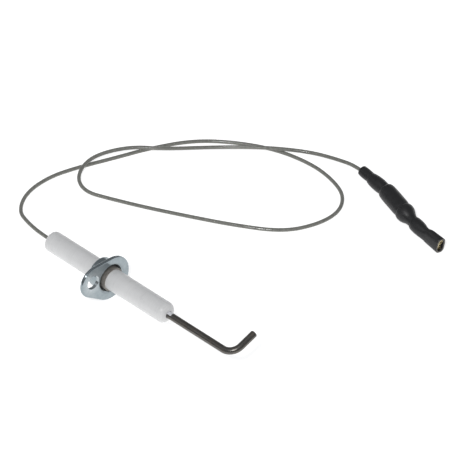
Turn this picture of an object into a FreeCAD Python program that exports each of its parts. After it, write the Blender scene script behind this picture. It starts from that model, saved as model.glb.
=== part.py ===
import FreeCAD, Part
import math
import os
import Sketcher

# Flame sensor probe of a gas burner: a bent rod in a ceramic tube with a one-eared
# steel flange, and a free lead that ends in a sleeved suppressor and a tab receptacle.
# Frame: millimetres, +Z up, the probe lies on the ground plane with its tip towards +X.
# The origin is under the middle of the probe itself, at ground level.

SIZES = {
    # how the probe lies: flange front face centre, tilt, and turns about its own axis
    "seat_x": -16.44,
    "seat_y": 1.25,
    "seat_z": 9.89,
    "nose_up": 9.1,
    "ear_roll": 152.0,
    "tip_roll": 8.1,
    # ceramic tube, measured both ways from the flange's front face
    "ceramic_radius": 4.5,
    "ceramic_front": 33.0,
    "ceramic_rear": 35.8,
    "nose_round": 2.8,
    "rear_round": 1.5,
    "ceramic_bore": 1.6,
    "collar_radius": 4.95,
    "collar_front": 2.6,
    "collar_rear": 5.9,
    "socket_bore": 2.2,
    "socket_depth": 16.0,
    # rod
    "rod_radius": 1.5,
    "rod_tail": 24.5,
    "rod_corner": 68.5,
    "rod_leg": 12.9,
    "rod_bend": 5.0,
    "rod_edge": 0.25,
    # flange, a plate with a cup drawn backwards round the collar
    "plate_thick": 1.5,
    "plate_radius": 9.8,
    "plate_edge": 0.55,
    "ear_radius": 7.0,
    "ear_reach": 9.65,
    "ear_hole_reach": 10.6,
    "ear_hole_radius": 3.1,
    "cup_radius": 6.5,
    "cup_bore": 5.1,
    "cup_depth": 7.4,
    "cup_floor": 1.0,
    "cup_rim_bore": 4.65,
    "cup_lip": 2.0,
    "cup_heel": 1.0,
    # what holds the collar in the cup
    "gasket_bore": 4.6,
    "gasket_radius": 5.05,
    "gasket_thick": 0.5,
    "ring_length": 3.0,
    # joint between rod and lead, inside the ceramic's rear socket
    "ferrule_radius": 1.95,
    "ferrule_front": 20.0,
    "ferrule_rear": 31.5,
    "ferrule_bore": 0.55,
    "cement_gap": 0.6,
    "cement_length": 2.4,
    "cement_bore": 0.84,
    # how deep a wire goes into the crimp that holds it
    "crimp_depth": 1.0,
    # lead
    "jacket_radius": 0.8,
    "jacket_bore": 0.54,
    "conductor_radius": 0.5,
    # splice at the lead's end, measured from where the lead enters its first sleeve
    "splice_x": 12.72,
    "splice_y": 117.89,
    "splice_z": 3.3,
    "splice_heading": -5.2,
    "splice_pitch": 1.6,
    "entry_start": 0.0,
    "entry_length": 5.5,
    "entry_radius": 2.1,
    "entry_bore": 0.85,
    "cover_start": 5.5,
    "cover_length": 9.2,
    "cover_radius": 2.8,
    "cover_bore": 2.1,
    "crimp_start": 7.5,
    "crimp_length": 6.0,
    "crimp_radius": 1.5,
    "crimp_bore": 0.6,
    "splice_end": 14.2,
    # suppressor, measured from the splice's end
    "resistor_heading": -14.1,
    "resistor_pitch": 1.2,
    "resistor_start": 2.4,
    "resistor_length": 13.2,
    "resistor_radius": 2.9,
    "cap_length": 1.6,
    "cap_wall": 0.25,
    "wire_radius": 0.45,
    "sleeve_start": 0.0,
    "sleeve_radius": 3.65,
    "sleeve_bore": 3.2,
    "ball_radius": 4.0,
    "ball_start": 13.3,
    "ball_end": 19.3,
    "neck_radius": 2.5,
    "neck_bore": 1.9,
    "sleeve_end": 20.5,
    # tab receptacle and its sleeve, measured from the ball's end
    "terminal_heading": -4.6,
    "terminal_pitch": -1.6,
    "terminal_roll": -105.0,
    "barrel_start": 2.2,
    "barrel_length": 4.6,
    "barrel_radius": 1.35,
    "barrel_bore": 0.9,
    "tongue_width": 2.2,
    "tongue_length": 4.4,
    "sheet_thick": 0.4,
    "jaw_lap": 1.5,
    "jaw_length": 7.3,
    "jaw_width": 5.2,
    "curl_radius": 1.0,
    "curl_bore": 0.6,
    "curl_slot": 1.0,
    "skin_start": 1.9,
    "bulge_radius": 2.85,
    "bulge_end": 10.0,
    "waist_width": 6.6,
    "waist_height": 3.9,
    "mouth_width": 7.0,
    "mouth_height": 3.8,
    "skin_end": 18.0,
    "skin_wall": 0.55,
}

# The lead's route, from inside the ceramic's rear end to inside the suppressor's first
# sleeve. Its second pass lies over the first at three places, in a long low hump.
ROUTE = [
    (-49.8, 1.25, 4.55),
    (-57.7, 1.25, 3.28),
    (-66.7, 2.4, 1.7),
    (-74.8, 4.5, 0.8),
    (-79.9, 13.6, 0.8),
    (-79.3, 26.2, 0.8),
    (-74.5, 38.3, 0.8),
    (-67.4, 52.3, 0.8),
    (-60.4, 67.0, 0.8),
    (-50.5, 82.6, 0.8),
    (-37.1, 94.2, 0.8),
    (-22.1, 103.1, 0.8),
    (-5.7, 107.6, 0.8),
    (6.4, 107.2, 0.8),
    (15.3, 104.2, 0.8),
    (20.0, 96.3, 0.8),
    (17.9, 85.0, 0.8),
    (10.4, 72.5, 0.8),
    (-6.2, 61.1, 0.8),
    (-23.8, 50.9, 0.8),
    (-39.5, 42.2, 0.8),
    (-52.9, 35.4, 0.9),
    (-62.2, 30.7, 1.4),
    (-69.4, 32.7, 2.1),
    (-73.2, 40.6, 2.7),
    (-72.0, 49.7, 2.7),
    (-65.1, 61.2, 2.7),
    (-55.1, 69.1, 2.7),
    (-42.9, 83.4, 1.8),
    (-30.7, 94.5, 2.7),
    (-20.6, 103.2, 2.7),
    (-9.9, 111.6, 1.9),
    (0.9, 116.1, 2.3),
    (9.7, 118.17, 3.22),
    (17.7, 117.44, 3.44),
]
ARC_SHARE = 0.45

X_AXIS = FreeCAD.Vector(1, 0, 0)
Y_AXIS = FreeCAD.Vector(0, 1, 0)
Z_AXIS = FreeCAD.Vector(0, 0, 1)
ORIGIN = FreeCAD.Vector(0, 0, 0)
ALONG_X = FreeCAD.Rotation(Y_AXIS, 90)
XY_TO_YZ = FreeCAD.Rotation(X_AXIS, 90).multiply(FreeCAD.Rotation(Y_AXIS, 90))
NEARLY_ROUND = 0.01
SAME_PLACE = 0.001

doc = FreeCAD.newDocument("FlameSensorProbe")
sheet = doc.addObject("Spreadsheet::Sheet", "Sizes")
for row, (word, number) in enumerate(SIZES.items(), start=1):
    sheet.set(f"A{row}", word)
    sheet.set(f"B{row}", str(number))
    sheet.setAlias(f"B{row}", word)
doc.recompute()

subparts = []


def value(words):
    """The length that a sum of sheet words such as 'a - b + c' stands for."""
    total = 0.0
    sign = 1.0
    for word in words.split():
        if word in ("+", "-"):
            sign = 1.0 if word == "+" else -1.0
        else:
            total += sign * float(sheet.get(word))
    return total


def bound(words):
    """The same sum, written as an expression on the sheet."""
    return " ".join(word if word in ("+", "-") else "Sizes." + word for word in words.split())


def placed(base, heading, pitch, roll=0.0):
    """A frame whose +X has this heading and rise, turned by roll about itself."""
    turn = FreeCAD.Rotation(Z_AXIS, heading)
    rise = FreeCAD.Rotation(Y_AXIS, -pitch)
    spin = FreeCAD.Rotation(X_AXIS, roll)
    return FreeCAD.Placement(base, turn.multiply(rise).multiply(spin))


def seat(roll_word=None):
    """Frame of the probe: origin in the flange's front face, +X along the rod."""
    base = FreeCAD.Vector(value("seat_x"), value("seat_y"), value("seat_z"))
    return placed(base, 0.0, value("nose_up"), value(roll_word) if roll_word else 0.0)


def splice():
    """Frame of the lead's end: origin where the lead enters its first sleeve, +X onwards."""
    base = FreeCAD.Vector(value("splice_x"), value("splice_y"), value("splice_z"))
    return placed(base, value("splice_heading"), value("splice_pitch"))


def resistor():
    """Frame of the suppressor: origin at the splice's end, +X towards the terminal."""
    base = splice().multVec(FreeCAD.Vector(value("splice_end"), 0, 0))
    return placed(base, value("resistor_heading"), value("resistor_pitch"))


def terminal(roll_word=None):
    """Frame of the receptacle: origin at the end of the suppressor's ball, +X out of its mouth."""
    base = resistor().multVec(FreeCAD.Vector(value("ball_end"), 0, 0))
    roll = value(roll_word) if roll_word else 0.0
    return placed(base, value("terminal_heading"), value("terminal_pitch"), roll)


def finished(piece, node, place):
    """Name a sub-part and put it where it belongs."""
    piece.Label = node
    piece.Placement = place
    subparts.append(piece)
    return piece


def new_body(name):
    return doc.addObject("PartDesign::Body", name + "_body")


def sketch_on(body, role, name):
    """A sketch on one of the body's own origin planes."""
    sketch = body.newObject("Sketcher::SketchObject", name)
    plane = [item for item in body.Origin.OriginFeatures if item.Role == role][0]
    sketch.AttachmentSupport = [(plane, "")]
    sketch.MapMode = "FlatFace"
    return sketch


def pin_point(sketch, index, place, across, along):
    """Fix one end of a sketch line by its two distances, both bound to the sheet."""
    for kind, words in (("DistanceX", across), ("DistanceY", along)):
        if words is None:
            continue
        number = sketch.addConstraint(Sketcher.Constraint(kind, -1, 1, index, place, value(words)))
        sketch.setExpression(f"Constraints[{number}]", bound(words))


def closed_profile(sketch, corners):
    """A closed outline whose corners are pairs of sheet sums, '' standing for zero."""
    places = [FreeCAD.Vector(value(x), value(y), 0) for x, y in corners]
    count = len(places)
    for index in range(count):
        sketch.addGeometry(Part.LineSegment(places[index], places[(index + 1) % count]), False)
    for index in range(count):
        sketch.addConstraint(Sketcher.Constraint("Coincident", index, 2, (index + 1) % count, 1))
    for index, (across, along) in enumerate(corners):
        for kind, words in (("DistanceX", across), ("DistanceY", along)):
            if words:
                rule = Sketcher.Constraint(kind, -1, 1, index, 1, value(words))
                number = sketch.addConstraint(rule)
                sketch.setExpression(f"Constraints[{number}]", bound(words))
            elif kind == "DistanceX":
                sketch.addConstraint(Sketcher.Constraint("PointOnObject", index, 1, -2))
            else:
                sketch.addConstraint(Sketcher.Constraint("PointOnObject", index, 1, -1))


def revolved(body, name, corners, kind="Revolution"):
    """Turn a profile of (distance along X, radius) corners about the body's X axis."""
    sketch = sketch_on(body, "XZ_Plane", name + "_profile")
    closed_profile(sketch, corners)
    feature = body.newObject("PartDesign::" + kind, name)
    feature.Profile = sketch
    feature.ReferenceAxis = (sketch, ["H_Axis"])
    feature.Angle = 360.0
    doc.recompute()
    return feature


def round_edges(body, name, base, rings, words):
    """Round the circular edges of base at these (distance along X, radius) places."""
    names = []
    for number, edge in enumerate(base.Shape.Edges, start=1):
        if not isinstance(edge.Curve, Part.Circle):
            continue
        for x, radius in rings:
            near_x = abs(edge.Curve.Center.x - value(x)) < SAME_PLACE
            if near_x and abs(edge.Curve.Radius - value(radius)) < SAME_PLACE:
                names.append(f"Edge{number}")
    fillet = body.newObject("PartDesign::Fillet", name)
    fillet.Base = (base, names)
    fillet.setExpression("Radius", bound(words))
    doc.recompute()
    return fillet


def cylinder(name, start, length, radius):
    """A solid rod along X, from start, its sizes bound to the sheet."""
    rod = doc.addObject("Part::Cylinder", name)
    rod.setExpression("Radius", bound(radius))
    rod.setExpression("Height", bound(length))
    rod.Placement = FreeCAD.Placement(FreeCAD.Vector(value(start), 0, 0), ALONG_X)
    return rod


def less(name, base, tool):
    cut = doc.addObject("Part::Cut", name)
    cut.Base = base
    cut.Tool = tool
    return cut


def tube(node, place, start, length, outer, bore):
    """A plain ring or tube along X, cut from two cylinders."""
    outside = cylinder(node + "_outside", start, length, outer)
    inside = cylinder(node + "_inside", start, length, bore)
    return finished(less(node + "_cut", outside, inside), node, place)


# ---------------------------------------------------------------- probe

def ceramic_insulator():
    """Glazed tube with a domed nose, a collar inside the flange's cup and a rear socket."""
    body = new_body("ceramic_insulator")
    turned = revolved(body, "ceramic_turned", [
        ("- ceramic_rear", "socket_bore"),
        ("- ceramic_rear", "ceramic_radius"),
        ("- collar_rear", "ceramic_radius"),
        ("- collar_rear", "collar_radius"),
        ("- collar_front", "collar_radius"),
        ("- collar_front", "ceramic_radius"),
        ("ceramic_front", "ceramic_radius"),
        ("ceramic_front", "ceramic_bore"),
        ("- ceramic_rear + socket_depth", "ceramic_bore"),
        ("- ceramic_rear + socket_depth", "socket_bore"),
    ])
    rear_end = [("- ceramic_rear", "ceramic_radius")]
    rear_rounded = round_edges(body, "rear_rounded", turned, rear_end, "rear_round")
    nose_end = [("ceramic_front", "ceramic_radius")]
    body.Tip = round_edges(body, "nose_rounded", rear_rounded, nose_end, "nose_round")
    return finished(body, "ceramic_insulator", seat())


def electrode_rod():
    """Heat-resistant rod, bent square near its tip, whose tail ends in the rear socket."""
    body = new_body("electrode_rod")
    path = sketch_on(body, "XY_Plane", "rod_path")
    tail = FreeCAD.Vector(-value("rod_tail"), 0, 0)
    corner = value("rod_corner")
    bend = value("rod_bend")
    leg = value("rod_leg")
    before = FreeCAD.Vector(corner - bend, 0, 0)
    after = FreeCAD.Vector(corner, bend, 0)
    centre = FreeCAD.Vector(corner - bend, bend, 0)
    path.addGeometry(Part.LineSegment(tail, before), False)
    circle = Part.Circle(centre, Z_AXIS, bend)
    path.addGeometry(Part.ArcOfCircle(circle, -math.pi / 2, 0.0), False)
    path.addGeometry(Part.LineSegment(after, FreeCAD.Vector(corner, leg, 0)), False)
    path.addConstraint(Sketcher.Constraint("Tangent", 0, 2, 1, 1))
    path.addConstraint(Sketcher.Constraint("Tangent", 1, 2, 2, 1))
    path.addConstraint(Sketcher.Constraint("Horizontal", 0))
    path.addConstraint(Sketcher.Constraint("Vertical", 2))
    path.addConstraint(Sketcher.Constraint("PointOnObject", 0, 1, -1))
    radius = path.addConstraint(Sketcher.Constraint("Radius", 1, bend))
    path.setExpression(f"Constraints[{radius}]", "Sizes.rod_bend")
    pin_point(path, 0, 1, "- rod_tail", None)
    pin_point(path, 2, 2, "rod_corner", "rod_leg")

    section = sketch_on(body, "YZ_Plane", "rod_section")
    section.setExpression(".AttachmentOffset.Base.z", "- Sizes.rod_tail")
    section.addGeometry(Part.Circle(ORIGIN, Z_AXIS, value("rod_radius")), False)
    section.addConstraint(Sketcher.Constraint("Coincident", 0, 3, -1, 1))
    radius = section.addConstraint(Sketcher.Constraint("Radius", 0, value("rod_radius")))
    section.setExpression(f"Constraints[{radius}]", "Sizes.rod_radius")
    doc.recompute()

    pipe = body.newObject("PartDesign::AdditivePipe", "rod_pipe")
    pipe.Profile = section
    pipe.Spine = (path, [])
    doc.recompute()
    tip = FreeCAD.Vector(corner, leg, 0)
    ends = []
    for number, edge in enumerate(pipe.Shape.Edges, start=1):
        if isinstance(edge.Curve, Part.Circle):
            middle = edge.Curve.Center
            if min((middle - tail).Length, (middle - tip).Length) < SAME_PLACE:
                ends.append(f"Edge{number}")
    chamfer = body.newObject("PartDesign::Chamfer", "rod_ends")
    chamfer.Base = (pipe, ends)
    chamfer.setExpression("Size", "Sizes.rod_edge")
    body.Tip = chamfer
    return finished(body, "electrode_rod", seat("tip_roll"))


def teardrop(sketch):
    """Outline of the plate: a round end, one rounded ear and two tangent flanks."""
    big = value("plate_radius")
    small = value("ear_radius")
    reach = value("ear_reach")
    lean = math.acos((big - small) / reach)
    across = FreeCAD.Vector(math.cos(lean), math.sin(lean), 0)
    mirrored = FreeCAD.Vector(across.x, -across.y, 0)
    ear = FreeCAD.Vector(reach, 0, 0)
    round_end = Part.ArcOfCircle(Part.Circle(ORIGIN, Z_AXIS, big), lean, 2 * math.pi - lean)
    ear_end = Part.ArcOfCircle(Part.Circle(ear, Z_AXIS, small), -lean, lean)
    sketch.addGeometry(round_end, False)
    sketch.addGeometry(Part.LineSegment(mirrored * big, ear + mirrored * small), False)
    sketch.addGeometry(ear_end, False)
    sketch.addGeometry(Part.LineSegment(ear + across * small, across * big), False)
    sketch.addConstraint(Sketcher.Constraint("Coincident", 0, 3, -1, 1))
    for first, second in ((0, 1), (1, 2), (2, 3), (3, 0)):
        sketch.addConstraint(Sketcher.Constraint("Tangent", first, 2, second, 1))
    sketch.addConstraint(Sketcher.Constraint("PointOnObject", 2, 3, -1))
    for index, word in ((0, "plate_radius"), (2, "ear_radius")):
        number = sketch.addConstraint(Sketcher.Constraint("Radius", index, value(word)))
        sketch.setExpression(f"Constraints[{number}]", bound(word))
    number = sketch.addConstraint(Sketcher.Constraint("DistanceX", -1, 1, 2, 3, reach))
    sketch.setExpression(f"Constraints[{number}]", "Sizes.ear_reach")


def flange_plate():
    """Stamped plate with one screw ear and a cup drawn backwards round the ceramic."""
    body = new_body("flange_plate")
    outline = sketch_on(body, "YZ_Plane", "plate_outline")
    teardrop(outline)
    hole_reach = value("ear_hole_reach")
    hole = Part.Circle(FreeCAD.Vector(hole_reach, 0, 0), Z_AXIS, value("ear_hole_radius"))
    outline.addGeometry(hole, False)
    outline.addConstraint(Sketcher.Constraint("PointOnObject", 4, 3, -1))
    number = outline.addConstraint(Sketcher.Constraint("DistanceX", -1, 1, 4, 3, hole_reach))
    outline.setExpression(f"Constraints[{number}]", "Sizes.ear_hole_reach")
    number = outline.addConstraint(Sketcher.Constraint("Radius", 4, value("ear_hole_radius")))
    outline.setExpression(f"Constraints[{number}]", "Sizes.ear_hole_radius")
    plate = body.newObject("PartDesign::Pad", "plate")
    plate.Profile = outline
    plate.setExpression("Length", "Sizes.plate_thick")
    plate.Reversed = True
    doc.recompute()

    edge_names = []
    for number, edge in enumerate(plate.Shape.Edges, start=1):
        box = edge.BoundBox
        is_round = isinstance(edge.Curve, Part.Circle)
        is_hole = is_round and abs(edge.Curve.Radius - value("ear_hole_radius")) < SAME_PLACE
        if box.XLength < SAME_PLACE and not is_hole:
            edge_names.append(f"Edge{number}")
    eased = body.newObject("PartDesign::Fillet", "plate_eased")
    eased.Base = (plate, edge_names)
    eased.setExpression("Radius", "Sizes.plate_edge")
    doc.recompute()

    cup = revolved(body, "cup_wall", [
        ("- plate_thick", ""),
        ("- plate_thick", "cup_radius"),
        ("- cup_depth", "cup_radius"),
        ("- cup_depth", ""),
    ])
    unbored = cup.Shape.Volume
    bored = revolved(body, "cup_inside", [
        ("", ""),
        ("", "cup_bore"),
        ("- cup_depth + cup_floor", "cup_bore"),
        ("- cup_depth + cup_floor", "cup_rim_bore"),
        ("- cup_depth", "cup_rim_bore"),
        ("- cup_depth", ""),
    ], kind="Groove")
    if bored.Shape.Volume >= unbored:
        raise RuntimeError("the groove inside the cup cut nothing")
    heel = round_edges(body, "cup_heel_round", bored, [("- cup_depth", "cup_radius")], "cup_heel")
    lip = round_edges(body, "cup_lip_round", heel, [("", "cup_bore")], "cup_lip")
    body.Tip = lip
    return finished(body, "flange_plate", seat("ear_roll"))


def collar_fittings():
    """Two fibre gaskets and the press-in steel sleeve that hold the collar in the cup."""
    place = seat()
    tube("rear_gasket", place, "- collar_rear - gasket_thick", "gasket_thick",
         "gasket_radius", "gasket_bore")
    tube("front_gasket", place, "- collar_front", "gasket_thick", "gasket_radius", "gasket_bore")
    tube("retaining_ring", place, "- collar_front + gasket_thick", "ring_length",
         "cup_bore", "gasket_bore")


def crimp_ferrule():
    """Stepped sleeve that joins the rod's tail to the lead's conductor."""
    body = new_body("crimp_ferrule")
    turned = revolved(body, "ferrule_turned", [
        ("- ferrule_rear", "ferrule_bore"),
        ("- ferrule_rear", "ferrule_radius"),
        ("- ferrule_front", "ferrule_radius"),
        ("- ferrule_front", "rod_radius"),
        ("- rod_tail", "rod_radius"),
        ("- rod_tail", "ferrule_bore"),
    ])
    body.Tip = turned
    return finished(body, "crimp_ferrule", seat())


def cement_plug():
    """Ring of cement that seals the lead in the rear socket."""
    tube("rear_cement", seat(), "- ceramic_rear + cement_gap", "cement_length",
         "socket_bore", "cement_bore")


# ---------------------------------------------------------------- lead

def rounded_path(points):
    """Straight runs joined by tangent arcs as large as the shorter run allows."""
    edges = []
    here = points[0]
    for index in range(1, len(points) - 1):
        corner = points[index]
        back = points[index - 1] - corner
        ahead = points[index + 1] - corner
        reach = ARC_SHARE * min(back.Length, ahead.Length)
        back.normalize()
        ahead.normalize()
        half_turn = (math.pi - back.getAngle(ahead)) / 2
        start = corner + back * reach
        end = corner + ahead * reach
        radius = reach / math.tan(half_turn)
        towards = (back + ahead).normalize()
        centre_gap = radius / math.cos(half_turn)
        middle = corner + towards * (centre_gap - radius)
        edges.append(Part.LineSegment(here, start).toShape())
        edges.append(Part.Arc(start, middle, end).toShape())
        here = end
    edges.append(Part.LineSegment(here, points[-1]).toShape())
    return Part.Wire(edges)


def swept(wire, radius):
    """A round solid of this radius along the wire."""
    start = wire.Edges[0]
    heading = start.tangentAt(start.FirstParameter)
    ring = Part.Wire([Part.makeCircle(radius, start.valueAt(start.FirstParameter), heading)])
    return wire.makePipeShell([ring], True, False)


def report_sweep(name, shape, wire, section):
    """Print a sweep's length, its tightest bends, and its volume beside the expected one."""
    arcs = [edge.Curve.Radius for edge in wire.Edges if isinstance(edge.Curve, Part.Circle)]
    print(name, "length", round(wire.Length, 1), "smallest radii",
          [round(radius, 1) for radius in sorted(arcs)[:5]], "volume", round(shape.Volume, 2),
          "section x length", round(section * wire.Length, 2))


def lead_pieces():
    """The lead's clear jacket and its stranded conductor, on one route."""
    points = [FreeCAD.Vector(*point) for point in ROUTE]
    wire = rounded_path(points)
    outside = swept(wire, value("jacket_radius"))
    inside = swept(wire, value("jacket_bore"))
    jacket = doc.addObject("Part::Feature", "cable_jacket_tube")
    jacket.Shape = outside.cut(inside)
    section = math.pi * (value("jacket_radius") ** 2 - value("jacket_bore") ** 2)
    report_sweep("jacket", jacket.Shape, wire, section)
    finished(jacket, "cable_jacket", FreeCAD.Placement())

    rear_end = seat().multVec(FreeCAD.Vector(value("- rod_tail - crimp_depth"), 0, 0))
    front_end = splice().multVec(FreeCAD.Vector(value("crimp_start + crimp_depth"), 0, 0))
    core_wire = rounded_path([rear_end] + points[1:-1] + [front_end])
    core = doc.addObject("Part::Feature", "cable_conductor_core")
    core.Shape = swept(core_wire, value("conductor_radius"))
    report_sweep("conductor", core.Shape, core_wire, math.pi * value("conductor_radius") ** 2)
    finished(core, "cable_conductor", FreeCAD.Placement())


# ---------------------------------------------------------------- suppressor

def wire_between(node, start, corner, end):
    """A bare wire from start to end, bent once at the corner."""
    wire = doc.addObject("Part::Feature", node + "_bent")
    wire.Shape = swept(rounded_path([start, corner, end]), value("wire_radius"))
    finished(wire, node, FreeCAD.Placement())


def suppressor():
    """Splice, resistor with its two caps and wires, all inside the sleeves."""
    tube("cable_splice", splice(), "crimp_start", "crimp_length", "crimp_radius", "crimp_bore")
    place = resistor()
    body = cylinder("resistor_rod", "resistor_start", "resistor_length", "resistor_radius")
    finished(body, "suppressor_resistor", place.multiply(body.Placement))
    cap_ends = (("rear_resistor_cap", "resistor_start - cap_wall", "resistor_start"),
                ("front_resistor_cap", "resistor_start + resistor_length - cap_length",
                 "resistor_start + resistor_length - cap_length"))
    for node, start, hollow_start in cap_ends:
        shell = cylinder(node + "_shell", start, "cap_length + cap_wall", "resistor_radius + cap_wall")
        hollow = cylinder(node + "_hollow", hollow_start, "cap_length", "resistor_radius")
        finished(less(node + "_cut", shell, hollow), node, place)

    in_splice = FreeCAD.Vector(value("crimp_start + crimp_length - crimp_depth"), 0, 0)
    at_rear_cap = FreeCAD.Vector(value("resistor_start - cap_wall"), 0, 0)
    wire_between("rear_resistor_wire", splice().multVec(in_splice), place.multVec(ORIGIN),
                 place.multVec(at_rear_cap))
    at_front_cap = FreeCAD.Vector(value("resistor_start + resistor_length + cap_wall"), 0, 0)
    in_barrel = FreeCAD.Vector(value("barrel_start + barrel_length - crimp_depth"), 0, 0)
    wire_between("front_resistor_wire", place.multVec(at_front_cap), terminal().multVec(ORIGIN),
                 terminal().multVec(in_barrel))


def sleeves():
    """Shrink sleeves over the lead's end, its splice and the resistor."""
    tube("entry_sleeve", splice(), "entry_start", "entry_length", "entry_radius", "entry_bore")
    tube("splice_sleeve", splice(), "cover_start", "cover_length", "cover_radius", "cover_bore")
    body = new_body("resistor_sleeve")
    turned = revolved(body, "resistor_sleeve_turned", [
        ("sleeve_start", "sleeve_bore"),
        ("sleeve_start", "sleeve_radius"),
        ("ball_start", "sleeve_radius"),
        ("ball_start + cap_length", "ball_radius"),
        ("ball_end - cap_length", "ball_radius"),
        ("ball_end", "neck_radius"),
        ("sleeve_end", "neck_radius"),
        ("sleeve_end", "neck_bore"),
        ("ball_end - cap_length", "neck_bore"),
        ("ball_end - cap_length", "sleeve_bore"),
    ])
    body.Tip = turned
    finished(body, "resistor_sleeve", resistor())


def jaw_curl(name, centre, slot_y):
    """One rolled edge of the jaw: a tube along X, slit along the side where the tab goes."""
    rings = []
    for part_name, word in (("_outside", "curl_radius"), ("_inside", "curl_bore")):
        ring = doc.addObject("Part::Cylinder", name + part_name)
        ring.setExpression("Radius", bound(word))
        ring.setExpression("Height", "Sizes.jaw_length")
        ring.Placement = FreeCAD.Placement(centre, ALONG_X)
        rings.append(ring)
    slot = doc.addObject("Part::Box", name + "_slot")
    slot.setExpression("Length", "Sizes.jaw_length")
    slot.setExpression("Width", "Sizes.curl_radius")
    slot.setExpression("Height", "Sizes.curl_slot")
    slot.Placement.Base = centre + FreeCAD.Vector(0, slot_y, -value("curl_slot") / 2)
    return less(name, less(name + "_ring", rings[0], rings[1]), slot)


def terminal_receptacle():
    """Brass tab receptacle: crimp barrel, tongue, and a jaw with two rolled edges."""
    curl = value("curl_radius")
    barrel = less("barrel_cut",
                  cylinder("barrel_outside", "barrel_start", "barrel_length", "barrel_radius"),
                  cylinder("barrel_inside", "barrel_start", "barrel_length", "barrel_bore"))
    tongue_start = value("barrel_start + barrel_length - crimp_depth")
    tongue = doc.addObject("Part::Box", "tongue")
    tongue.setExpression("Length", "Sizes.tongue_length + Sizes.jaw_lap")
    tongue.setExpression("Width", "Sizes.tongue_width")
    tongue.setExpression("Height", "Sizes.sheet_thick")
    tongue.Placement.Base = FreeCAD.Vector(tongue_start, -value("tongue_width") / 2, -curl)
    jaw_start = tongue_start + value("tongue_length")
    jaw = doc.addObject("Part::Box", "jaw")
    jaw.setExpression("Length", "Sizes.jaw_length")
    jaw.setExpression("Width", "Sizes.jaw_width - 2 * Sizes.curl_radius")
    jaw.setExpression("Height", "Sizes.sheet_thick")
    curl_y = value("jaw_width") / 2 - curl
    jaw.Placement.Base = FreeCAD.Vector(jaw_start, -curl_y, -curl)
    left = jaw_curl("left_curl", FreeCAD.Vector(jaw_start, -curl_y, 0), 0.0)
    right = jaw_curl("right_curl", FreeCAD.Vector(jaw_start, curl_y, 0), -curl)
    whole = doc.addObject("Part::MultiFuse", "receptacle")
    whole.Shapes = [barrel, tongue, jaw, left, right]
    return finished(whole, "terminal_receptacle", terminal("terminal_roll"))


def terminal_sleeve():
    """Shrink sleeve that runs from the suppressor's neck to the receptacle's mouth."""
    neck = 2 * value("neck_radius")
    bulge = 2 * value("bulge_radius")
    stations = [
        (value("skin_start"), neck, neck - NEARLY_ROUND),
        (value("skin_start + bulge_end") / 2, bulge, bulge - NEARLY_ROUND),
        (value("bulge_end"), value("waist_width"), value("waist_height")),
        (value("skin_end"), value("mouth_width"), value("mouth_height")),
    ]

    def skin(shrink):
        rings = []
        for x, width, height in stations:
            ellipse = Part.Ellipse(ORIGIN, width / 2 - shrink, height / 2 - shrink)
            ring = Part.Wire([ellipse.toShape()])
            ring.Placement = FreeCAD.Placement(FreeCAD.Vector(x, 0, 0), XY_TO_YZ)
            rings.append(ring)
        return Part.makeLoft(rings, True, True)

    sleeve = doc.addObject("Part::Feature", "terminal_sleeve_skin")
    sleeve.Shape = skin(0.0).cut(skin(value("skin_wall")))
    return finished(sleeve, "terminal_sleeve", terminal("terminal_roll"))


ceramic_insulator()
electrode_rod()
flange_plate()
collar_fittings()
crimp_ferrule()
cement_plug()
lead_pieces()
suppressor()
sleeves()
terminal_receptacle()
terminal_sleeve()
doc.recompute()

for item in doc.Objects:
    if "Invalid" in item.State or "Error" in item.State:
        raise RuntimeError(f"{item.Name} failed: {item.State}")
for piece in subparts:
    if piece.Shape.isNull() or not piece.Shape.isValid():
        raise RuntimeError(f"{piece.Label} has no valid shape")

os.makedirs("parts", exist_ok=True)
for piece in subparts:
    piece.Shape.exportStep(f"parts/{piece.Label}.step")
print("sub-parts written:", len(subparts))
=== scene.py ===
import math

import bpy
from mathutils import Matrix, Vector, noise


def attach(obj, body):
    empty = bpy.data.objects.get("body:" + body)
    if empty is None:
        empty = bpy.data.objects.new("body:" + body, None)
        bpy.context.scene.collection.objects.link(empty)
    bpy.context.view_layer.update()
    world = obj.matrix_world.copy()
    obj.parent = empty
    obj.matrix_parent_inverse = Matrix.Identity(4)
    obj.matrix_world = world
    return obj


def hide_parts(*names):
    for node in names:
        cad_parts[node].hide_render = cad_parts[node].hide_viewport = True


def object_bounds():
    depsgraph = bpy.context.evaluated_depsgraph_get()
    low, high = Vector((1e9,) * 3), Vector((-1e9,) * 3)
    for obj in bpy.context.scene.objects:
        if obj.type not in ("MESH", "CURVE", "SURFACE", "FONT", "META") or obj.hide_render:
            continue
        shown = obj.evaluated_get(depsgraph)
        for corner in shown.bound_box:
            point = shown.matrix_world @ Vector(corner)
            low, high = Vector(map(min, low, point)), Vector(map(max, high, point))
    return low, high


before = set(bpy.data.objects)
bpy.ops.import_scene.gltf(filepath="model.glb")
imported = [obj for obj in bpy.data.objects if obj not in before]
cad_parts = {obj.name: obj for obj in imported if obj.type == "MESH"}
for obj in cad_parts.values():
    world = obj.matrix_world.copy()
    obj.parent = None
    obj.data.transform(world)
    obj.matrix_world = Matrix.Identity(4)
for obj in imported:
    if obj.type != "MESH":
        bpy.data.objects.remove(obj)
cad_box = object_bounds()

# A flame sensor probe on its lead, lying loose on a pale floor. Everything is in metres.
MM = 0.001
ROOT = "root"

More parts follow.
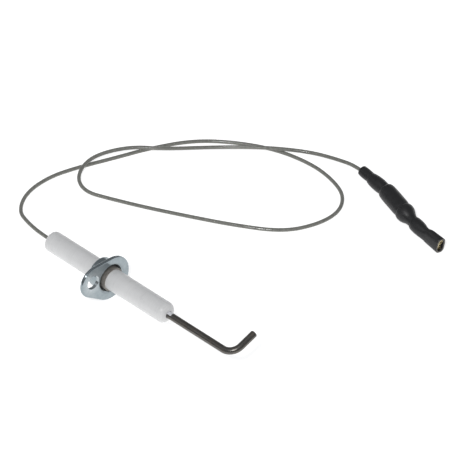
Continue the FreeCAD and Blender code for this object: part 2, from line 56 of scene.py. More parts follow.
# The lead's route, from inside the ceramic to inside the first sleeve.
ROUTE = [
    (-0.0498, 0.00125, 0.00455),
    (-0.0577, 0.00125, 0.00328),
    (-0.0667, 0.0024, 0.0017),
    (-0.0748, 0.0045, 0.0008),
    (-0.0799, 0.0136, 0.0008),
    (-0.0793, 0.0262, 0.0008),
    (-0.0745, 0.0383, 0.0008),
    (-0.0674, 0.0523, 0.0008),
    (-0.0604, 0.067, 0.0008),
    (-0.0505, 0.0826, 0.0008),
    (-0.0371, 0.0942, 0.0008),
    (-0.0221, 0.1031, 0.0008),
    (-0.0057, 0.1076, 0.0008),
    (0.0064, 0.1072, 0.0008),
    (0.0153, 0.1042, 0.0008),
    (0.02, 0.0963, 0.0008),
    (0.0179, 0.085, 0.0008),
    (0.0104, 0.0725, 0.0008),
    (-0.0062, 0.0611, 0.0008),
    (-0.0238, 0.0509, 0.0008),
    (-0.0395, 0.0422, 0.0008),
    (-0.0529, 0.0354, 0.0009),
    (-0.0622, 0.0307, 0.0014),
    (-0.0694, 0.0327, 0.0021),
    (-0.0732, 0.0406, 0.0027),
    (-0.072, 0.0497, 0.0027),
    (-0.0651, 0.0612, 0.0027),
    (-0.0551, 0.0691, 0.0027),
    (-0.0429, 0.0834, 0.0018),
    (-0.0307, 0.0945, 0.0027),
    (-0.0206, 0.1032, 0.0027),
    (-0.0099, 0.1116, 0.0019),
    (0.0009, 0.1161, 0.0023),
    (0.0097, 0.11817, 0.00322),
    (0.0177, 0.11744, 0.00344),
]
JACKET_RADIUS = 0.8 * MM


def placed(base, heading, pitch, roll=0.0):
    """A frame at base whose +X has this heading and rise, turned by roll about itself."""
    turn = Matrix.Rotation(math.radians(heading), 4, "Z")
    rise = Matrix.Rotation(math.radians(-pitch), 4, "Y")
    spin = Matrix.Rotation(math.radians(roll), 4, "X")
    return Matrix.Translation(Vector(base)) @ turn @ rise @ spin


def onwards(place, distance, heading, pitch, roll=0.0):
    """A frame that starts this far along the axis of another."""
    return placed(place @ Vector((distance, 0, 0)), heading, pitch, roll)


# The probe at its flange's front face, then the three straight stretches of the lead's end.
PROBE = placed((-0.01644, 0.00125, 0.00989), 0.0, 9.1)
SPLICE = placed((0.01272, 0.11789, 0.0033), -5.2, 1.6)
RESISTOR = onwards(SPLICE, 14.2 * MM, -14.1, 1.2)
TERMINAL = onwards(RESISTOR, 19.3 * MM, -4.6, -1.6, -105.0)
CERAMIC_FRONT = 33.0 * MM
PROBE_TURN = PROBE.to_euler()
RESISTOR_TURN = RESISTOR.to_euler()


# ------------------------------------------------------------------ camera and light

def look_from(azimuth, elevation, distance, target):
    """Place and rotation of something that looks at target from this direction."""
    a = math.radians(azimuth)
    e = math.radians(elevation)
    back = Vector((math.sin(a) * math.cos(e), -math.cos(a) * math.cos(e), math.sin(e)))
    return Vector(target) + back * distance, (-back).to_track_quat("-Z", "Y")


def make_camera():
    """A long lens more than a metre away, above the bent tip's side of the probe."""
    target = (-0.0017, 0.0536, 0.0085)
    place, turn = look_from(azimuth=44.35, elevation=50.06, distance=1.438, target=target)
    data = bpy.data.cameras.new("camera")
    data.lens = 277.6
    data.sensor_width = 36.0
    data.clip_start = 0.05
    data.clip_end = 10.0
    camera = bpy.data.objects.new("camera", data)
    bpy.context.scene.collection.objects.link(camera)
    camera.rotation_mode = "QUATERNION"
    camera.location = place
    camera.rotation_quaternion = turn
    bpy.context.scene.camera = camera


def area_light(name, azimuth, elevation, distance, size, power, colour=(1.0, 1.0, 1.0)):
    """A round lamp that faces the middle of the object."""
    data = bpy.data.lights.new(name, "AREA")
    data.shape = "DISK"
    data.size = size
    data.energy = power
    data.color = colour
    lamp = bpy.data.objects.new(name, data)
    bpy.context.scene.collection.objects.link(lamp)
    middle = (cad_box[0] + cad_box[1]) / 2
    lamp.rotation_mode = "QUATERNION"
    lamp.location, lamp.rotation_quaternion = look_from(azimuth, elevation, distance, middle)


def make_lights():
    """A wide soft lamp overhead, a small bright one near the camera and a weak one at the left."""
    area_light("top_soft", azimuth=20, elevation=78, distance=0.9, size=0.9, power=0.4)
    area_light("key_front", azimuth=30, elevation=56, distance=1.4, size=0.2, power=7.0)
    area_light("side_left", azimuth=-50, elevation=40, distance=1.1, size=0.5, power=0.3,
               colour=(0.96, 0.98, 1.0))


def make_world():
    """A pale studio, bright overhead and darker near the horizon."""
    horizon = (0.6, 0.61, 0.62, 1)
    overhead = (0.95, 0.97, 1.0, 1)
    overhead_from = 0.8
    world = bpy.data.worlds.new("studio")
    bpy.context.scene.world = world
    world.use_nodes = True
    nodes, links = world.node_tree.nodes, world.node_tree.links
    background = nodes["Background"]
    coords = nodes.new("ShaderNodeTexCoord")
    split = nodes.new("ShaderNodeSeparateXYZ")
    ramp = nodes.new("ShaderNodeValToRGB")
    low, high = ramp.color_ramp.elements
    low.position = 0.0
    low.color = horizon
    high.position = overhead_from
    high.color = overhead
    links.new(coords.outputs["Generated"], split.inputs[0])
    links.new(split.outputs["Z"], ramp.inputs[0])
    links.new(ramp.outputs[0], background.inputs["Color"])
    background.inputs["Strength"].default_value = 0.36


def make_floor():
    """A plain pale floor that glows a little, so that shadows on it stay faint."""
    half = 3.0
    mesh = bpy.data.meshes.new("floor")
    corners = [(-half, -half, 0), (half, -half, 0), (half, half, 0), (-half, half, 0)]
    mesh.from_pydata(corners, [], [(0, 1, 2, 3)])
    floor = bpy.data.objects.new("floor", mesh)
    bpy.context.scene.collection.objects.link(floor)
    paint = bpy.data.materials.new("floor_white")
    paint.use_nodes = True
    shader = paint.node_tree.nodes["Principled BSDF"]
    shader.inputs["Base Color"].default_value = (0.7, 0.7, 0.7, 1)
    shader.inputs["Roughness"].default_value = 0.9
    shader.inputs["Specular IOR Level"].default_value = 0.0
    shader.inputs["Emission Color"].default_value = (1.0, 1.0, 1.0, 1)
    shader.inputs["Emission Strength"].default_value = 0.7
    mesh.materials.append(paint)


# ------------------------------------------------------------------ material helpers

class Paint:
    """A material under construction: short calls for the nodes that this scene uses."""

    def __init__(self, name, **sockets):
        self.material = bpy.data.materials.new(name)
        self.material.use_nodes = True
        self.nodes = self.material.node_tree.nodes
        self.links = self.material.node_tree.links
        self.shader = self.nodes["Principled BSDF"]
        self.coords = self.nodes.new("ShaderNodeTexCoord")
        for socket, amount in sockets.items():
            self.set(socket.replace("_", " "), amount)

    def set(self, socket, amount):
        """Set a shader socket, given in any letter case."""
        for slot in self.shader.inputs:
            if slot.name.lower() == socket.lower():
                slot.default_value = amount
                return
        raise KeyError(socket)

    def space(self, scale=(1, 1, 1), turn=(0, 0, 0)):
        """Object coordinates turned and scaled, to run a pattern along a part."""
        turned = self.nodes.new("ShaderNodeMapping")
        turned.vector_type = "TEXTURE"
        turned.inputs["Rotation"].default_value = turn
        scaled = self.nodes.new("ShaderNodeMapping")
        scaled.inputs["Scale"].default_value = scale
        self.links.new(self.coords.outputs["Object"], turned.inputs[0])
        self.links.new(turned.outputs[0], scaled.inputs[0])
        return scaled.outputs[0]

    def noise(self, vector, scale, detail=4.0, roughness=0.5, distortion=0.0):
        """Soft random blotches, this many to the metre."""
        texture = self.nodes.new("ShaderNodeTexNoise")
        texture.inputs["Scale"].default_value = scale
        texture.inputs["Detail"].default_value = detail
        texture.inputs["Roughness"].default_value = roughness
        texture.inputs["Distortion"].default_value = distortion
        self.links.new(vector, texture.inputs["Vector"])
        return texture.outputs[0]

    def cells(self, vector, scale):
        """Distance from scattered points, this many to the metre."""
        texture = self.nodes.new("ShaderNodeTexVoronoi")
        texture.inputs["Scale"].default_value = scale
        self.links.new(vector, texture.inputs["Vector"])
        return texture.outputs["Distance"]

    def ramp(self, factor, stops):
        """Turn a factor into colours or greys, from (position, colour or grey) stops."""
        node = self.nodes.new("ShaderNodeValToRGB")
        band = node.color_ramp
        while len(band.elements) < len(stops):
            band.elements.new(0.5)
        for element, (position, colour) in zip(band.elements, stops):
            element.position = position
            element.color = (*colour, 1) if hasattr(colour, "__len__") else (colour,) * 3 + (1,)
        self.links.new(factor, node.inputs[0])
        return node.outputs[0]

    def mix(self, factor, first, second, blend="MIX"):
        """Blend two colours, each one a colour or an output."""
        node = self.nodes.new("ShaderNodeMix")
        node.data_type = "RGBA"
        node.blend_type = blend
        for slot, content in ((0, factor), (6, first), (7, second)):
            if isinstance(content, bpy.types.NodeSocket):
                self.links.new(content, node.inputs[slot])
            elif slot == 0:
                node.inputs[slot].default_value = content
            else:
                node.inputs[slot].default_value = (*content, 1)
        return node.outputs[2]

    def combine(self, how, first, second):
        """Arithmetic on two numbers, each one a number or an output."""
        node = self.nodes.new("ShaderNodeMath")
        node.operation = how
        for slot, content in ((0, first), (1, second)):
            if isinstance(content, bpy.types.NodeSocket):
                self.links.new(content, node.inputs[slot])
            else:
                node.inputs[slot].default_value = content
        return node.outputs[0]

    def colour(self, output):
        self.links.new(output, self.shader.inputs["Base Color"])

    def gloss(self, output):
        self.links.new(output, self.shader.inputs["Roughness"])

    def bump(self, height, depth):
        """Surface relief of this depth in metres."""
        node = self.nodes.new("ShaderNodeBump")
        node.inputs["Strength"].default_value = 1.0
        node.inputs["Distance"].default_value = depth
        self.links.new(height, node.inputs["Height"])
        self.links.new(node.outputs[0], self.shader.inputs["Normal"])

    def edges(self):
        """How sharply the surface turns: about half on flats, more on raised edges."""
        geometry = self.nodes.new("ShaderNodeNewGeometry")
        return geometry.outputs["Pointiness"]


# ------------------------------------------------------------------ materials

def ceramic_glaze():
    """White glazed steatite: faint mottling, pinholes, soft turning rings under the glaze."""
    paint = Paint("ceramic_glaze", roughness=0.3, coat_weight=0.15, coat_roughness=0.1)
    paint.set("Specular IOR Level", 0.3)
    plain = paint.space()
    along = paint.space((1, 0.02, 0.02), PROBE_TURN)
    mottling = paint.noise(plain, 260, 5, 0.6)
    rings = paint.noise(along, 2600, 3, 0.5)
    specks = paint.cells(plain, 900)
    body = paint.ramp(mottling, [(0.3, (0.74, 0.74, 0.74)), (0.7, (0.79, 0.79, 0.79))])
    ringed = paint.mix(0.12, body, paint.ramp(rings, [(0.35, 0.45), (0.65, 0.72)]))
    dust = paint.ramp(specks, [(0.03, 0.86), (0.09, 1.0)])
    paint.colour(paint.mix(0.35, ringed, dust, "MULTIPLY"))
    paint.gloss(paint.ramp(mottling, [(0.25, 0.24), (0.75, 0.38)]))
    peel = paint.noise(plain, 1500, 2, 0.4)
    paint.bump(paint.combine("ADD", peel, paint.combine("MULTIPLY", rings, 0.35)), 0.012 * MM)
    return paint.material


def rod_metal():
    """Heat-resistant alloy rod, darkened, with drawing lines and brown patches."""
    paint = Paint("rod_metal", metallic=1.0, roughness=0.35)
    plain = paint.space()
    drawn = paint.space((0.03, 1, 1), PROBE_TURN)
    lines = paint.noise(drawn, 5200, 4, 0.6)
    patches = paint.noise(plain, 420, 5, 0.6)
    dark = paint.ramp(lines, [(0.3, (0.09, 0.086, 0.081)), (0.7, (0.18, 0.173, 0.163))])
    warm = paint.ramp(patches, [(0.45, 0.0), (0.7, 0.65)])
    metal = paint.mix(warm, dark, (0.18, 0.152, 0.126))
    glazed = glaze_run(paint)
    paint.colour(paint.mix(glazed, metal, (0.74, 0.75, 0.78)))
    paint.links.new(paint.combine("SUBTRACT", 1.0, glazed), paint.shader.inputs["Metallic"])
    paint.gloss(paint.ramp(patches, [(0.3, 0.26), (0.7, 0.42)]))
    paint.bump(paint.combine("ADD", lines, paint.combine("MULTIPLY", glazed, 3.0)), 0.014 * MM)
    return paint.material


def glaze_run(paint):
    """Where the ceramic's glaze has run out on to the rod's upper side, from 0 to 1."""
    reach = 2.3 * MM
    upper_side = 0.9 * MM
    nose = PROBE @ Vector((CERAMIC_FRONT, 0, 0))
    shifted = paint.nodes.new("ShaderNodeMapping")
    shifted.vector_type = "TEXTURE"
    shifted.inputs["Location"].default_value = nose
    shifted.inputs["Rotation"].default_value = PROBE_TURN
    paint.links.new(paint.coords.outputs["Object"], shifted.inputs[0])
    split = paint.nodes.new("ShaderNodeSeparateXYZ")
    paint.links.new(shifted.outputs[0], split.inputs[0])
    along, side, rise = split.outputs
    ragged = paint.combine("MULTIPLY", paint.noise(paint.space(), 1800, 2, 0.5), 0.6 * MM)
    short = paint.combine("LESS_THAN", paint.combine("ADD", along, ragged), reach)
    sideways = paint.combine("MULTIPLY", side, 0.3)
    facing = paint.combine("ADD", sideways, paint.combine("MULTIPLY", rise, 0.95))
    high = paint.combine("GREATER_THAN", facing, upper_side)
    return paint.combine("MULTIPLY", short, high)


def zinc_plate():
    """Bright bluish zinc on a stamping: cloudy gloss, fine grain and rubbed edges."""
    paint = Paint("zinc_plate", metallic=1.0, roughness=0.2)
    plain = paint.space()
    clouds = paint.noise(plain, 330, 5, 0.65, 0.4)
    grain = paint.noise(plain, 4200, 3, 0.6)
    scratches = paint.noise(paint.space((0.06, 1, 0.4), (0.3, 0.2, 0.7)), 3000, 3, 0.7)
    tone = paint.ramp(clouds, [(0.25, (0.255, 0.295, 0.315)), (0.75, (0.34, 0.385, 0.405))])
    rubbed = paint.ramp(paint.edges(), [(0.52, 0.0), (0.62, 0.6)])
    paint.colour(paint.mix(rubbed, tone, (0.56, 0.59, 0.6)))
    paint.gloss(paint.ramp(paint.combine("MULTIPLY", clouds, scratches), [(0.15, 0.13), (0.4, 0.24)]))
    paint.bump(paint.combine("ADD", grain, paint.combine("MULTIPLY", scratches, 0.6)), 0.0022 * MM)
    return paint.material


def ring_steel():
    """Dulled, brownish steel of the sleeve pressed in round the ceramic."""
    paint = Paint("ring_steel", metallic=0.35, roughness=0.5)
    plain = paint.space()
    stains = paint.noise(plain, 900, 4, 0.6)
    paint.colour(paint.ramp(stains, [(0.3, (0.2, 0.185, 0.165)), (0.7, (0.33, 0.31, 0.285))]))
    paint.gloss(paint.ramp(stains, [(0.3, 0.38), (0.7, 0.62)]))
    paint.bump(paint.noise(plain, 5000, 3), 0.01 * MM)
    return paint.material


def fibre(name="gasket_fibre", tones=((0.2, 0.17, 0.14), (0.36, 0.32, 0.27))):
    """Pressed mineral fibre or cement: matt, grainy, a little uneven in colour."""
    paint = Paint(name, roughness=0.9)
    plain = paint.space()
    grain = paint.noise(plain, 3500, 6, 0.7)
    paint.colour(paint.ramp(grain, [(0.3, tones[0]), (0.7, tones[1])]))
    paint.gloss(paint.ramp(grain, [(0.3, 0.82), (0.7, 0.98)]))
    paint.bump(grain, 0.04 * MM)
    return paint.material


def bright_metal(name, tones, roughness=(0.2, 0.38)):
    """Plated or bare soft metal with drawing marks and cloudy tone and gloss."""
    paint = Paint(name, metallic=1.0, roughness=0.3)
    plain = paint.space()
    drawn = paint.space((0.05, 1, 1), RESISTOR_TURN)
    lines = paint.noise(drawn, 5000, 3, 0.6)
    clouds = paint.noise(plain, 700, 4, 0.6)
    tone = paint.ramp(clouds, [(0.3, tones[0]), (0.7, tones[1])])
    paint.colour(paint.mix(0.3, tone, paint.ramp(lines, [(0.3, 0.5), (0.7, 1.0)]), "MULTIPLY"))
    paint.gloss(paint.ramp(clouds, [(0.3, roughness[0]), (0.7, roughness[1])]))
    paint.bump(lines, 0.01 * MM)
    return paint.material


def clear_jacket():
    """Soft clear insulation, smoky and slightly milky, with faint drag marks."""
    paint = Paint("clear_jacket", roughness=0.25, transmission_weight=0.28)
    paint.set("IOR", 1.42)
    plain = paint.space()
    haze = paint.noise(plain, 900, 4, 0.6)
    paint.colour(paint.ramp(haze, [(0.3, (0.24, 0.24, 0.218)), (0.7, (0.33, 0.33, 0.302))]))
    paint.gloss(paint.ramp(haze, [(0.3, 0.08), (0.7, 0.24)]))
    paint.bump(paint.noise(plain, 2500, 3), 0.006 * MM)
    return paint.material


def strand_metal():
    """Tinned strands with a few bare, golden stretches."""
    paint = Paint("strand_metal", metallic=1.0, roughness=0.3)
    plain = paint.space()
    bare = paint.noise(plain, 1400, 3, 0.6)
    tone = paint.ramp(bare, [(0.36, (0.5, 0.5, 0.46)), (0.6, (0.68, 0.67, 0.62)),
                             (0.72, (0.78, 0.62, 0.38))])
    paint.colour(tone)
    paint.gloss(paint.ramp(bare, [(0.3, 0.2), (0.7, 0.4)]))
    paint.bump(paint.noise(plain, 6000, 2), 0.008 * MM)
    return paint.material


def shrink_skin(name, turn, seed):
    """Black shrink sleeve: satin, with fine lengthwise lines, dust, and raised edges painted paler:
    some wear and a painted highlight along the rims.
    """
    paint = Paint(name, roughness=0.45, sheen_weight=0.06, sheen_roughness=0.4)
    paint.set("Specular IOR Level", 0.42)
    plain = paint.space()
    drawn = paint.space((0.08, 1, 1), turn)
    lines = paint.noise(drawn, 2300 + 90 * seed, 4, 0.65)
    clouds = paint.noise(plain, 380 + 30 * seed, 4, 0.6)
    grain = paint.noise(plain, 5200, 3, 0.7)
    tone = paint.ramp(clouds, [(0.3, (0.0095, 0.0095, 0.0105)), (0.7, (0.0165, 0.0165, 0.018))])
    lint = paint.ramp(paint.noise(plain, 7000, 2, 0.5), [(0.68, 0.0), (0.76, 0.35)])
    dusty = paint.mix(lint, tone, (0.06, 0.058, 0.056))
    # Raised edges and rims painted paler: partly wear, partly a painted highlight where the rims
    # catch light.
    rim_highlight_and_wear = paint.ramp(paint.edges(), [(0.53, 0.0), (0.64, 0.7)])
    paint.colour(paint.mix(rim_highlight_and_wear, dusty, (0.045, 0.044, 0.044)))
    paint.gloss(paint.ramp(paint.combine("MULTIPLY", clouds, lines), [(0.12, 0.34), (0.4, 0.56)]))
    paint.bump(paint.combine("ADD", lines, paint.combine("MULTIPLY", grain, 0.5)), 0.03 * MM)
    return paint.material


def cut_rubber():
    """The sawn face at a sleeve's end: matt, grey and a little torn."""
    paint = Paint("cut_rubber", roughness=0.8)
    torn = paint.noise(paint.space(), 4200, 4, 0.7)
    paint.colour(paint.ramp(torn, [(0.35, (0.085, 0.078, 0.068)), (0.65, (0.19, 0.178, 0.16))]))
    paint.gloss(paint.ramp(torn, [(0.3, 0.7), (0.7, 0.92)]))
    paint.bump(torn, 0.05 * MM)
    return paint.material


def give(node, material):
    """Put one material on a CAD node or a piece."""
    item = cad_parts[node] if isinstance(node, str) else node
    item.data.materials.clear()
    item.data.materials.append(material)
    return item


# ------------------------------------------------------------------ lead

def route_curve(name, bevel=0.0):
    """The lead's centre line as one NURBS spline, with a round section if asked."""
    curve = bpy.data.curves.new(name, "CURVE")
    curve.dimensions = "3D"
    spline = curve.splines.new("NURBS")
    spline.points.add(len(ROUTE) - 1)
    for point, place in zip(spline.points, ROUTE):
        point.co = (*place, 1.0)
    spline.order_u = 3
    spline.use_endpoint_u = True
    spline.resolution_u = 16
    curve.bevel_depth = bevel
    curve.bevel_resolution = 6
    curve.use_fill_caps = bevel > 0
    piece = bpy.data.objects.new(name, curve)
    bpy.context.scene.collection.objects.link(piece)
    return piece


def centreline():
    """Points read from the route's spline, and how far along each one lies."""
    thin = route_curve("route_line")
    mesh = bpy.data.meshes.new_from_object(thin)
    points = [vertex.co.copy() for vertex in mesh.vertices]
    bpy.data.meshes.remove(mesh)
    bpy.data.curves.remove(thin.data)
    distances = [0.0]
    for here, there in zip(points, points[1:]):
        distances.append(distances[-1] + (there - here).length)
    return points, distances


def walk(points, distances, step):
    """Evenly spaced places on the line, each with two directions across it that don't twist."""
    total = distances[-1]
    count = int(total / step)
    across = Vector((0, 0, 1))
    index = 0
    stops = []
    for number in range(count + 1):
        reach = total * number / count
        while index < len(points) - 2 and distances[index + 1] < reach:
            index += 1
        span = distances[index + 1] - distances[index]
        share = (reach - distances[index]) / span
        heading = (points[index + 1] - points[index]).normalized()
        across = (across - heading * across.dot(heading)).normalized()
        stops.append((points[index].lerp(points[index + 1], share), across.copy(),
                      heading.cross(across), reach))
    return stops


def strand_bundle(stops):
    """Twelve strands laid round a core, twisted along the lead."""
    lay_radius = 0.54 * MM
    strand_radius = 0.142 * MM
    core_radius = 0.43 * MM
    pitch = 8.5 * MM
    unevenness = 0.05
    vertices = []
    faces = []

    def thread(offset_radius, angle, radius, corners):
        """One strand, wound round the lead at this radius from this angle."""
        first = len(vertices)
        for centre, across, sideways, reach in stops:
            turn = angle + 2 * math.pi * reach / pitch
            wobble = 1 + unevenness * noise.noise(Vector((angle * 3, reach * 900, 0)))
            out = across * math.cos(turn) + sideways * math.sin(turn)
            middle = centre + out * (offset_radius * wobble)
            lateral = across * -math.sin(turn) + sideways * math.cos(turn)
            for corner in range(corners):
                phase = 2 * math.pi * corner / corners
                vertices.append(middle + (out * math.cos(phase) + lateral * math.sin(phase)) * radius)
        last = first + (len(stops) - 1) * corners
        faces.extend(band_faces(len(stops), corners, first))
        faces.append(tuple(first + corner for corner in reversed(range(corners))))
        faces.append(tuple(last + corner for corner in range(corners)))

    thread(0.0, 0.0, core_radius, 10)
    strands = 12
    for number in range(strands):
        thread(lay_radius, 2 * math.pi * number / strands, strand_radius, 6)
    return new_piece("lead_strands", vertices, faces)


# ------------------------------------------------------------------ mesh helpers

def new_piece(name, vertices, faces, smooth=True):
    mesh = bpy.data.meshes.new(name)
    mesh.from_pydata([tuple(v) for v in vertices], [], faces)
    mesh.validate()
    if smooth:
        mesh.polygons.foreach_set("use_smooth", [True] * len(mesh.polygons))
    piece = bpy.data.objects.new(name, mesh)
    bpy.context.scene.collection.objects.link(piece)
    return piece


def band_faces(rows, around, first=0, closed=False):
    """Quads between rings of points, the last ring joined to the first one if closed."""
    faces = []
    for row in range(rows if closed else rows - 1):
        low = first + row * around
        high = first + (row + 1) % rows * around
        for corner in range(around):
            following = (corner + 1) % around
            faces.append((low + corner, low + following, high + following, high + corner))
    return faces


def smooth_between(stations, steps):
    """Rows of a station table filled in smoothly, each row a tuple that starts with a distance."""
    filled = []
    last = len(stations) - 1
    for index in range(last):
        rows = [stations[max(index - 1, 0)], stations[index],
                stations[index + 1], stations[min(index + 2, last)]]
        for step in range(steps):
            share = step / steps
            filled.append(tuple(eased(*(row[column] for row in rows), share)
                                for column in range(len(stations[0]))))
    filled.append(tuple(stations[-1]))
    return filled


def eased(before, start, end, after, share):
    """A curve from start to end that flows on from before and into after."""
    lead_in = (end - before) / 2
    lead_out = (after - start) / 2
    square = share * share
    cube = square * share
    return ((2 * cube - 3 * square + 1) * start + (cube - 2 * square + share) * lead_in
            + (3 * square - 2 * cube) * end + (cube - square) * lead_out)


def inset(row, depth, back=0.0):
    """A station row with its section this much smaller, set back along the sleeve."""
    s, width, height, *rest = row
    return (s - back, width - depth, height - depth, *rest)


def wall_rows(rows, wall):
    """Rows along a sleeve's outside and back along its inside, with eased ends."""
    ease = wall * 0.12
    first, *between, last = rows
    outside = [inset(first, ease), *between, inset(last, 0.0, ease), inset(last, ease)]
    inside = [inset(last, wall - ease), inset(last, wall, ease)]
    inside += [inset(row, wall) for row in reversed(between)]
    inside += [inset(first, wall - ease)]
    return outside, inside


def crinkle(s, angle, seed):
    """How far a shrunk skin stands out at a spot: broad waves and long folds."""
    ripple = 0.03 * MM
    wave = Vector((s / MM * 0.45, math.cos(angle) * 1.1 + seed * 7, math.sin(angle) * 1.1))
    fold = Vector((s / MM * 0.12, angle * 2.1 + seed * 3, seed)) * 2.3
    return ripple * (noise.noise(wave) + 0.5 * noise.noise(fold))


def section_point(angle, width, height, squareness):
    """A point on an outline that is an ellipse at squareness 2 and boxier above it."""
    power = 2 / squareness
    c, d = math.cos(angle), math.sin(angle)
    return math.copysign(abs(c) ** power, c) * width, math.copysign(abs(d) ** power, d) * height


def sleeve(name, place, stations, wall, seed, materials, slant):
    """A shrunk tube: rows of (distance, half width, half height, squareness, side shift, rise),
    with a wall, eased ends, and the unevenness of something shrunk over other pieces.
    Its skin and its two cut faces take the two materials. A slant leans the front cut back,
    away from the side and from the top."""
    around = 96
    slant_length = 4.5 * MM
    front, half_width, half_height = stations[-1][:3]
    outside, inside = wall_rows(smooth_between(stations, 6), wall)
    vertices = []
    for number, (s, width, height, squareness, shift, rise) in enumerate(outside + inside):
        near_front = max(0.0, 1 - (front - s) / slant_length)
        for corner in range(around):
            angle = 2 * math.pi * corner / around
            swell = crinkle(s, angle, seed) if number < len(outside) else 0.0
            across, up = section_point(angle, width + swell, height + swell, squareness)
            side, top = shift + across, rise + up
            lean = slant[0] * (half_width - side) + slant[1] * (half_height - top)
            vertices.append(place @ Vector((s - near_front * lean, side, top)))
    rings = len(outside) + len(inside)
    cut_rings = (len(outside) - 1, rings - 1)
    piece = new_piece(name, vertices, band_faces(rings, around, closed=True))
    for material in materials:
        piece.data.materials.append(material)
    is_cut = [int(ring in cut_rings) for ring in range(rings) for _ in range(around)]
    piece.data.polygons.foreach_set("material_index", is_cut)
    return piece


def round_rows(rows, side=0.0, rise=0.0):
    """Station rows for a round sleeve, from (distance, radius) in millimetres, its axis offset."""
    return [(s * MM, r * MM, r * MM, 2.0, side * MM, rise * MM) for s, r in rows]


# ------------------------------------------------------------------ sleeves and terminal

def make_sleeves():
    """The black sleeves, each shrunk on to the one before it."""
    entry_rows = round_rows([
        (-0.3, 2.02), (-0.05, 2.2), (0.7, 2.3), (2.6, 2.34), (4.4, 2.29), (5.3, 2.15), (6.2, 2.1)],
        side=0.06, rise=0.05)
    splice_rows = round_rows([
        (5.3, 2.25), (5.5, 2.44), (6.3, 2.66), (8.0, 2.9), (10.2, 3.02), (12.0, 2.96), (13.4, 2.8),
        (14.2, 2.72), (14.9, 2.66)],
        side=-0.02)
    resistor_rows = round_rows([
        (-0.1, 2.85), (0.15, 3.18), (0.8, 3.54), (1.8, 3.72), (4.0, 3.79), (8.0, 3.8), (11.4, 3.78),
        (12.7, 3.64), (13.2, 3.6), (13.5, 3.86), (14.2, 4.05), (15.2, 4.08), (16.4, 3.86),
        (17.5, 3.42), (18.4, 2.98), (19.3, 2.68), (20.9, 2.42), (22.2, 2.2)],
        rise=0.13)
    terminal_rows = [
        (s * MM, w * MM, h * MM, q, y * MM, z * MM) for s, w, h, q, y, z in (
            (1.5, 2.5, 2.5, 2.0, 0.05, -0.14),
            (1.75, 2.72, 2.72, 2.0, 0.05, -0.18),
            (2.8, 2.98, 2.98, 2.0, 0.06, -0.26),
            (4.6, 3.08, 3.04, 2.0, 0.08, -0.32),
            (6.6, 3.04, 2.7, 2.05, 0.1, -0.42),
            (8.0, 3.0, 2.28, 2.1, 0.12, -0.58),
            (9.4, 3.02, 1.86, 2.15, 0.12, -0.62),
            (10.4, 3.24, 1.82, 2.25, 0.1, -0.5),
            (11.5, 3.5, 1.96, 2.3, 0.06, -0.36),
            (13.7, 3.5, 2.04, 2.5, 0.04, -0.22),
            (18.6, 3.4, 2.12, 3.1, 0.02, -0.1))]
    upright = (0.0, 0.0)
    kinds = (
        ("entry_sleeve", SPLICE, entry_rows, 0.5, upright),
        ("splice_sleeve", SPLICE, splice_rows, 0.45, upright),
        ("resistor_sleeve", RESISTOR, resistor_rows, 0.45, upright),
        ("terminal_sleeve", TERMINAL, terminal_rows, 0.76, (0.12, 0.15)),
    )
    sawn = cut_rubber()
    pieces = []
    for seed, (node, place, rows, wall, slant) in enumerate(kinds, start=1):
        skin = shrink_skin(node + "_black", place.to_euler(), seed)
        piece = sleeve(node + "_skin", place, rows, wall * MM, seed, (skin, sawn), slant)
        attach(piece, ROOT)
        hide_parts(node)
        pieces.append(piece)
    return pieces


def ribbon(name, rows, thick):
    """A bent strip of sheet: rows of (distance, section), a section being (side, rise) points."""
    vertices = []
    for s, section in rows:
        last = len(section) - 1
        normals = []
        for index in range(last + 1):
            run = Vector(section[min(index + 1, last)]) - Vector(section[max(index - 1, 0)])
            normals.append(Vector((-run.y, run.x)).normalized() * thick / 2)
        loop = [Vector(point) + normal for point, normal in zip(section, normals)]
        loop += [Vector(point) - normal for point, normal in zip(section[::-1], normals[::-1])]
        vertices += [TERMINAL @ Vector((s, point.x, point.y)) for point in loop]
    half = len(rows[0][1])
    size = 2 * half
    faces = band_faces(len(rows), size)
    front = (len(rows) - 1) * size
    for index in range(half - 1):
        near, far = index, size - 1 - index
        faces.append((near + 1, near, far, far - 1))
        faces.append((front + near, front + near + 1, front + far - 1, front + far))
    return new_piece(name, vertices, faces, smooth=False)


def blended(first, second, share):
    """A section between two others."""
    return [(a[0] + (b[0] - a[0]) * share, a[1] + (b[1] - a[1]) * share)
            for a, b in zip(first, second)]


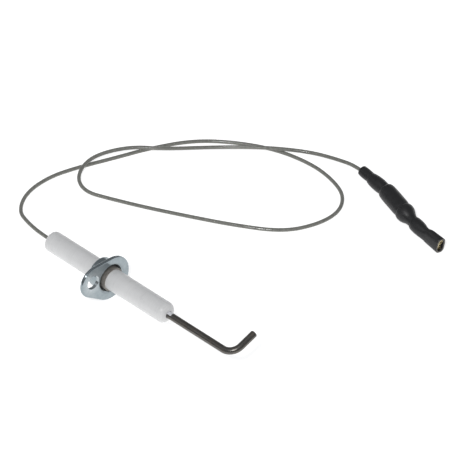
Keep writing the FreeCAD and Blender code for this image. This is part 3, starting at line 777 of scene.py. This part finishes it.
def make_terminal():
    """Brass receptacle: a jaw with two rolled edges, a tongue, and a barrel round the wire."""
    roll = 0.86 * MM
    roll_side = 1.5 * MM
    tongue_half = 1.1 * MM
    barrel_radius = 1.15 * MM
    thickness = 0.38 * MM
    curl = [(roll_side + roll * math.cos(math.radians(a)), roll * math.sin(math.radians(a)))
            for a in range(-90, 217, 18)]
    floor = [(side * MM, -roll) for side in (-1.1, -0.55, 0.0, 0.55, 1.1)]
    jaw = [(-side, rise) for side, rise in reversed(curl)] + floor + curl
    last = len(jaw) - 1
    tongue = [((index / last - 0.5) * 2 * tongue_half, -roll) for index in range(last + 1)]

    def wings(gap):
        """The strip wrapped round the wire, its edges this many degrees apart."""
        turns = [math.radians(-90 + (index / last - 0.5) * (360 - gap)) for index in range(last + 1)]
        return [(barrel_radius * math.cos(a), barrel_radius * math.sin(a)) for a in turns]

    rows = [(s * MM, wings(24)) for s in (2.2, 2.5, 4.2, 6.0)]
    rows += [(6.9 * MM, blended(wings(120), tongue, 0.45)), (7.8 * MM, tongue), (9.3 * MM, tongue)]
    rows += [(9.9 * MM, blended(tongue, jaw, 0.45))]
    rows += [(s * MM, jaw) for s in (10.5, 11.0, 13.0, 15.0, 17.4)]
    sleeve_middle = Vector((0.05 * MM, -0.16 * MM))
    rows = [(s, [Vector(point) + sleeve_middle for point in section]) for s, section in rows]
    piece = ribbon("receptacle_brass", rows, thickness)
    give(piece, bright_metal("receptacle_metal", ((0.6, 0.5, 0.27), (0.85, 0.73, 0.44))))
    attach(piece, ROOT)
    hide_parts("terminal_receptacle")
    return piece


# ------------------------------------------------------------------ build

def paint_cad_nodes():
    """Materials for the CAD nodes that show as they are."""
    nickel = bright_metal("nickel_plate", ((0.5, 0.48, 0.44), (0.7, 0.68, 0.64)))
    wire = bright_metal("tinned_wire", ((0.52, 0.5, 0.45), (0.72, 0.7, 0.66)))
    pairs = {
        "ceramic_insulator": ceramic_glaze(),
        "electrode_rod": rod_metal(),
        "flange_plate": zinc_plate(),
        "retaining_ring": ring_steel(),
        "front_gasket": fibre(),
        "rear_gasket": fibre("rear_gasket_fibre"),
        "crimp_ferrule": nickel,
        "cable_splice": nickel,
        "front_resistor_cap": nickel,
        "rear_resistor_cap": nickel,
        "front_resistor_wire": wire,
        "rear_resistor_wire": wire,
        "rear_cement": fibre("cement", ((0.5, 0.48, 0.44), (0.68, 0.66, 0.62))),
        "suppressor_resistor": fibre("resistor_body", ((0.2, 0.12, 0.08), (0.3, 0.19, 0.13))),
    }
    for node, material in pairs.items():
        give(node, material)


def make_lead():
    """Clear jacket over the twisted strands."""
    jacket = route_curve("lead_jacket", JACKET_RADIUS)
    jacket.data.materials.append(clear_jacket())
    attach(jacket, ROOT)
    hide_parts("cable_jacket")
    points, distances = centreline()
    strand_step = 0.7 * MM
    strands = strand_bundle(walk(points, distances, strand_step))
    give(strands, strand_metal())
    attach(strands, ROOT)
    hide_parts("cable_conductor")


make_camera()
make_world()
make_floor()
make_lights()
bpy.context.scene.view_settings.view_transform = "Standard"
paint_cad_nodes()
sleeves = make_sleeves()
terminal = make_terminal()
make_lead()
